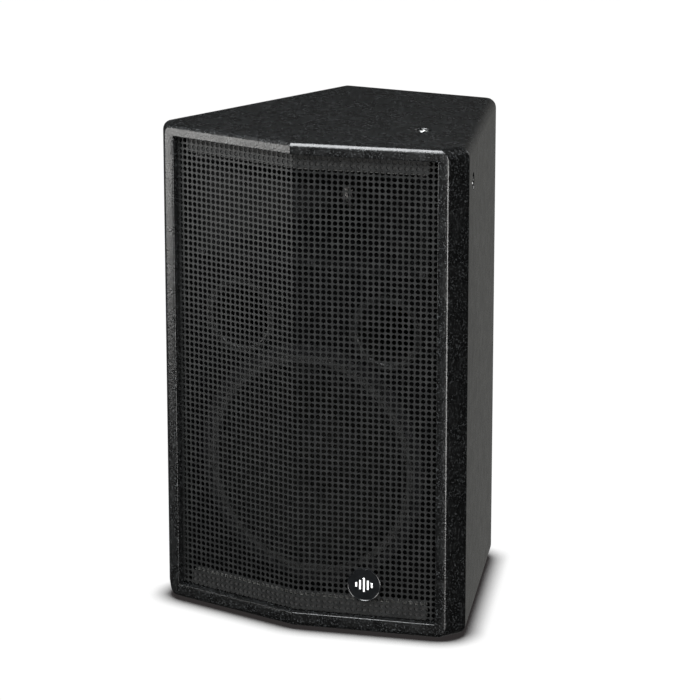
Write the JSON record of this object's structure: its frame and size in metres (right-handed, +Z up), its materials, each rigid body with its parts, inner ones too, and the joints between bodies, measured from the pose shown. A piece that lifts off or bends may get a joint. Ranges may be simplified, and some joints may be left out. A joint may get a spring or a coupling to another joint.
{
  "type": "pa speaker cabinet",
  "caption": "Upright two-way loudspeaker cabinet with a shallow V-folded grille, short front facets, tapering sides and recessed fixing points.",
  "frame": {"origin": "on the floor under the middle of the bounding box, at the feet's lower faces", "axes": "+Z up, -Y the front with its grille, +X to the right seen from the front"},
  "size_m": [0.42, 0.382, 0.624],
  "materials": {
    "paint": "textured speckled black paint on plywood",
    "baffle_paint": "matt black paint on plywood",
    "plywood": "raw birch plywood",
    "grey_paint": "grey paint on wood",
    "foam": "soft black foam",
    "grille_steel": "fine textured powder coat",
    "black_screw": "black oxide",
    "badge_face": "gloss",
    "bright_metal": "satin",
    "cast_frame": "satin powder coat on cast aluminium",
    "treated_cloth": "doped cloth",
    "cone_paper": "pressed paper",
    "copper": "enamelled copper wire",
    "spider_cloth": "resin-dipped cloth",
    "plated_steel": "zinc plated",
    "ferrite": "matt sintered",
    "terminal_plastic": "moulded",
    "horn_plastic": "fine grain",
    "titanium": "satin",
    "port_plastic": "smooth",
    "circuit_board": "solder mask",
    "nylon": "moulded",
    "capacitor_film": "film wrap",
    "ceramic": "cement",
    "plate_plastic": "fine texture",
    "socket_plastic": "moulded",
    "wire_cover": "smooth",
    "wadding_fibre": "loose fibre",
    "zinc_steel": "zinc plated",
    "socket_steel": "satin black",
    "foot_rubber": "moulded"
  },
  "bodies": {
    "cabinet": {"top_panel": "paint", "bottom_panel": "paint", "left_side_panel": "paint", "right_side_panel": "paint", "left_front_post": "paint", "right_front_post": "paint", "back_panel": "paint", "baffle": "baffle_paint", "brace": "plywood", "top_grille_cleat": "grey_paint", "bottom_grille_cleat": "grey_paint", "grille_foam": "foam", "grille": "grille_steel", "grille_screws": "black_screw", "badge": "badge_face", "badge_emblem": "bright_metal", "woofer_basket": "cast_frame", "woofer_trim_ring": "foam", "woofer_top_plate": "plated_steel", "woofer_magnet": "ferrite", "woofer_back_plate": "plated_steel", "woofer_bolts": "black_screw", "woofer_terminals": "terminal_plastic", "horn_flare": "horn_plastic", "horn_gasket": "foam", "horn_screws": "black_screw", "driver_front_plate": "plated_steel", "driver_magnet": "ferrite", "driver_top_plate": "plated_steel", "driver_phase_plug": "horn_plastic", "driver_clamp_ring": "horn_plastic", "driver_rear_cap": "horn_plastic", "driver_screws": "black_screw", "left_port_tube": "port_plastic", "right_port_tube": "port_plastic", "crossover_board": "circuit_board", "crossover_standoffs": "nylon", "crossover_inductors": "copper", "crossover_capacitors": "capacitor_film", "crossover_resistors": "ceramic", "input_plate": "plate_plastic", "input_plate_gasket": "foam", "input_plate_screws": "black_screw", "upper_speaker_socket": "socket_plastic", "lower_speaker_socket": "socket_plastic", "internal_wires": "wire_cover", "wadding": "wadding_fibre", "fly_point_inserts": "zinc_steel", "pole_socket": "socket_steel", "pole_socket_screws": "black_screw", "rubber_feet": "foot_rubber", "foot_screws": "zinc_steel"},
    "woofer_cone_assembly": {"woofer_cone": "cone_paper", "woofer_dust_cap": "cone_paper", "woofer_voice_coil": "copper", "woofer_surround": "treated_cloth", "woofer_spider": "spider_cloth"},
    "tweeter_diaphragm": {"hf_diaphragm": "titanium", "hf_suspension": "spider_cloth"}
  },
  "joints": [
    {"name": "woofer_travel", "type": "slide", "parent": "cabinet", "child": "woofer_cone_assembly", "axis": [0, 1, 0], "range_m": [-0.005, 0.005], "stiffness_N_per_m": 3500, "deforming": ["woofer_surround", "woofer_spider"]},
    {"name": "tweeter_travel", "type": "slide", "parent": "cabinet", "child": "tweeter_diaphragm", "axis": [0, 1, 0], "range_m": [-0.0003, 0.0003], "stiffness_N_per_m": 200, "deforming": ["hf_suspension"]}
  ]
}
